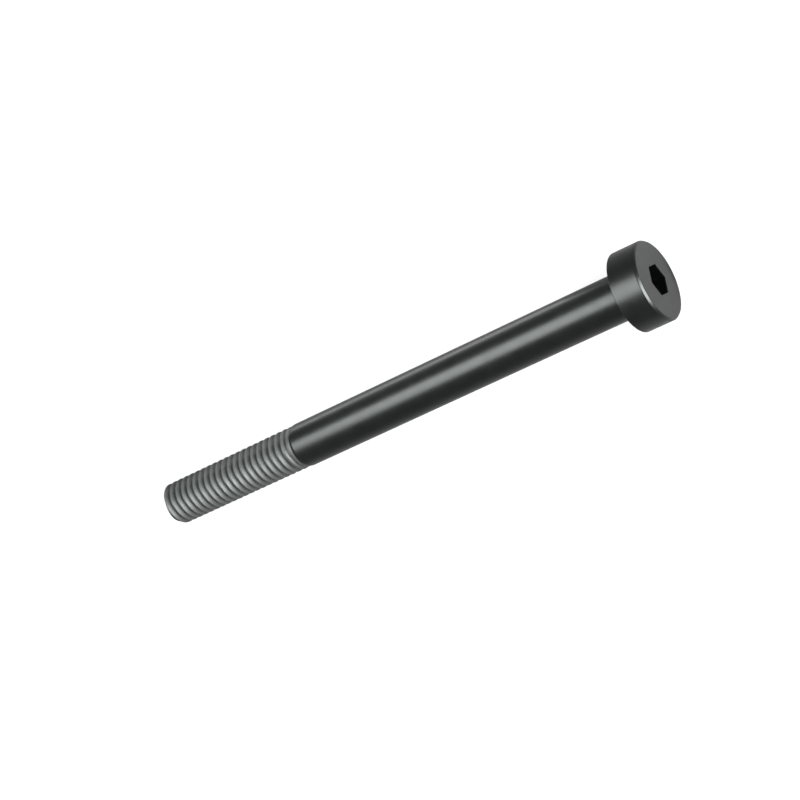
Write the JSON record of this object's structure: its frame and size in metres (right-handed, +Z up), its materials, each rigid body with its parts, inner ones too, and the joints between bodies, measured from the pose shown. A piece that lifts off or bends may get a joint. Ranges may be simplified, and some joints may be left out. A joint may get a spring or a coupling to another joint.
{
  "type": "hex socket cap screw",
  "caption": "Low-head hex socket cap screw in black steel: round head with a chamfered rim, long plain shank and a short rolled thread at its tip.",
  "frame": {"origin": "middle of the bounding box's underside, on the bench that the screw lies on", "axes": "+X along the lying screw towards its head, +Z up, +Y to the left seen from the tip"},
  "size_m": [0.0528, 0.007, 0.0071],
  "materials": {
    "black_oxide": "black oxide over forged and thread-rolled steel, semi-matt with a thin film of oil"
  },
  "bodies": {
    "root": {"cap_screw": "black_oxide"}
  },
  "joints": []
}
